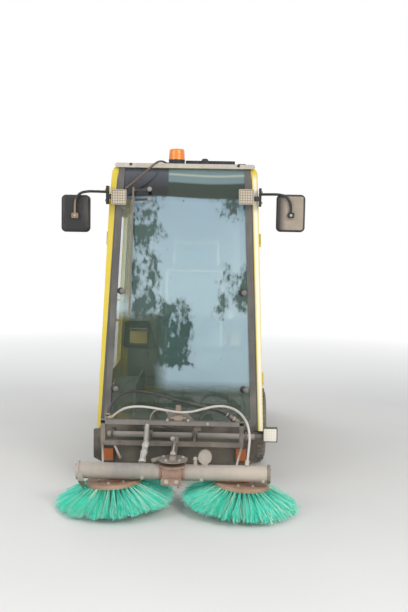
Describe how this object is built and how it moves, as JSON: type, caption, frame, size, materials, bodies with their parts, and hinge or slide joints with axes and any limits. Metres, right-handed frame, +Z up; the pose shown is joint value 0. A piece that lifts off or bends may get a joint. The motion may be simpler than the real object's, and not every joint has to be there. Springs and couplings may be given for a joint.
{
  "type": "street sweeper truck",
  "caption": "Compact articulated street sweeper: yellow glazed cab over a front brush gear with green rotary brushes, and a tipping hopper on the rear module.",
  "frame": {"origin": "centre of the footprint's bounding box, on the ground", "axes": "+Z up, -Y towards the front brushes, +X the machine's left side"},
  "size_m": [1.452, 3.215, 2.066],
  "materials": {
    "yellow_paint": "gloss, lightly weathered",
    "chassis_steel": "satin black paint with road dust",
    "grey_steel": "satin grey paint, scratched and rusty at the edges",
    "rim_paint": "satin",
    "tyre": "matt, dusty",
    "rubber": "matt",
    "clear_glass": "clear, gloss",
    "cab_lining": "matt",
    "roof_white": "satin cream-white, dusty",
    "black_plastic": "matt",
    "amber_plastic": "gloss, translucent look",
    "seat_fabric": "woven",
    "mirror_glass": "mirror",
    "lamp_lens": "clear, gloss",
    "visor_tint": "dark tint",
    "dark_panel": "matt, dusty",
    "strut_white": "satin white",
    "conduit_brown": "matt, corrugated",
    "valve_green": "satin",
    "green_bristle": "matt teal-green",
    "white_hose": "satin",
    "engine_iron": "cast",
    "red_lens": "gloss",
    "cylinder_black": "satin",
    "chrome_rod": "polished"
  },
  "bodies": {
    "front_module": {"front_chassis": "chassis_steel", "cab_frame": "yellow_paint", "windscreen_gasket": "rubber", "windscreen": "clear_glass", "rear_wall": "cab_lining", "low_frames": "black_plastic", "rear_glass": "clear_glass", "cab_floor": "cab_lining", "roof": "roof_white", "roof_hatch": "black_plastic", "beacon_base": "black_plastic", "beacon_lens": "amber_plastic", "beacon_conduit": "conduit_brown", "seat_base": "black_plastic", "seat_pads": "seat_fabric", "console": "black_plastic", "mirror_arms": "black_plastic", "mirror_glasses": "mirror_glass", "lamp_housings": "black_plastic", "lamp_lenses": "lamp_lens", "wiper": "black_plastic", "sun_visor": "visor_tint", "front_panel": "dark_panel", "indicators": "amber_plastic"},
    "left_door": {"door_left": "yellow_paint", "door_glass_left": "clear_glass"},
    "right_door": {"door_right": "yellow_paint", "door_glass_right": "clear_glass"},
    "driver_wheel": {"steering_wheel": "black_plastic"},
    "wheel_front_left": {"rim_front_left": "rim_paint", "tyre_front_left": "tyre"},
    "wheel_front_right": {"rim_front_right": "rim_paint", "tyre_front_right": "tyre"},
    "brush_gear": {"lift_frame": "grey_steel", "cross_tube": "grey_steel", "strut": "strut_white", "valve": "valve_green", "hose_white": "white_hose", "hose_black": "rubber", "hose_loops": "rubber"},
    "left_brush": {"brush_disc_left": "grey_steel", "bristles_left": "green_bristle"},
    "right_brush": {"brush_disc_right": "grey_steel", "bristles_right": "green_bristle"},
    "rear_module": {"rear_chassis": "chassis_steel", "engine_block": "engine_iron", "engine_hood": "yellow_paint", "suction_head": "black_plastic", "rear_lamps": "red_lens"},
    "wheel_rear_left": {"rim_rear_left": "rim_paint", "tyre_rear_left": "tyre"},
    "wheel_rear_right": {"rim_rear_right": "rim_paint", "tyre_rear_right": "tyre"},
    "tipping_hopper": {"hopper": "grey_steel"},
    "hopper_tailgate": {"hopper_door": "grey_steel"},
    "cylinder_barrel": {"tip_barrel": "cylinder_black"},
    "cylinder_rod": {"tip_rod": "chrome_rod"}
  },
  "joints": [
    {"name": "articulation", "type": "hinge", "parent": "front_module", "child": "rear_module", "pos_m": [0, 0.47, 0.34], "axis": [0, 0, 1], "range_deg": [-35, 35]},
    {"name": "left_door_hinge", "type": "hinge", "parent": "front_module", "child": "left_door", "pos_m": [0.491, -0.686, 1], "axis": [0.0428, 0, -0.9991], "range_deg": [0, 75]},
    {"name": "right_door_hinge", "type": "hinge", "parent": "front_module", "child": "right_door", "pos_m": [-0.491, -0.686, 1], "axis": [0.0428, 0, 0.9991], "range_deg": [0, 75]},
    {"name": "steering_wheel_turn", "type": "hinge", "parent": "front_module", "child": "driver_wheel", "pos_m": [0.05, -0.486, 0.96], "axis": [0, 0.3096, 0.9509], "range_deg": [-540, 540]},
    {"name": "front_left_wheel", "type": "hinge", "parent": "front_module", "child": "wheel_front_left", "pos_m": [0.453, -0.22, 0.25], "axis": [1, 0, 0], "continuous": true},
    {"name": "front_right_wheel", "type": "hinge", "parent": "front_module", "child": "wheel_front_right", "pos_m": [-0.453, -0.22, 0.25], "axis": [1, 0, 0], "continuous": true},
    {"name": "rear_left_wheel", "type": "hinge", "parent": "rear_module", "child": "wheel_rear_left", "pos_m": [0.453, 1.16, 0.25], "axis": [1, 0, 0], "continuous": true},
    {"name": "rear_right_wheel", "type": "hinge", "parent": "rear_module", "child": "wheel_rear_right", "pos_m": [-0.453, 1.16, 0.25], "axis": [1, 0, 0], "continuous": true},
    {"name": "brush_lift", "type": "hinge", "parent": "front_module", "child": "brush_gear", "pos_m": [0, -0.887, 0.322], "axis": [-1, 0, 0], "range_deg": [0, 22]},
    {"name": "left_brush_spin", "type": "hinge", "parent": "brush_gear", "child": "left_brush", "pos_m": [0.372, -1.27, 0.158], "axis": [0.0785, 0, 0.9969], "continuous": true},
    {"name": "right_brush_spin", "type": "hinge", "parent": "brush_gear", "child": "right_brush", "pos_m": [-0.344, -1.27, 0.158], "axis": [-0.0785, 0, 0.9969], "continuous": true},
    {"name": "hopper_tip", "type": "hinge", "parent": "rear_module", "child": "tipping_hopper", "pos_m": [0, 1.56, 0.765], "axis": [-1, 0, 0], "range_deg": [0, 45]},
    {"name": "tailgate_hinge", "type": "hinge", "parent": "tipping_hopper", "child": "hopper_tailgate", "pos_m": [0, 1.578, 1.822], "axis": [1, 0, 0], "range_deg": [0, 85]},
    {"name": "cylinder_swing", "type": "hinge", "parent": "rear_module", "child": "cylinder_barrel", "pos_m": [0, 1.29, 0.4], "axis": [-1, 0, 0], "range_deg": [0, 20.02]},
    {"name": "cylinder_extend", "type": "slide", "parent": "cylinder_barrel", "child": "cylinder_rod", "axis": [0, -0.3846, 0.9231], "range_m": [0, 0.27639]}
  ],
  "couplings": [
    {"joint": "cylinder_swing", "follows": "hopper_tip", "ratio": 0.44369},
    {"joint": "cylinder_extend", "follows": "hopper_tip", "m_per_rad": 0.35127}
  ]
}
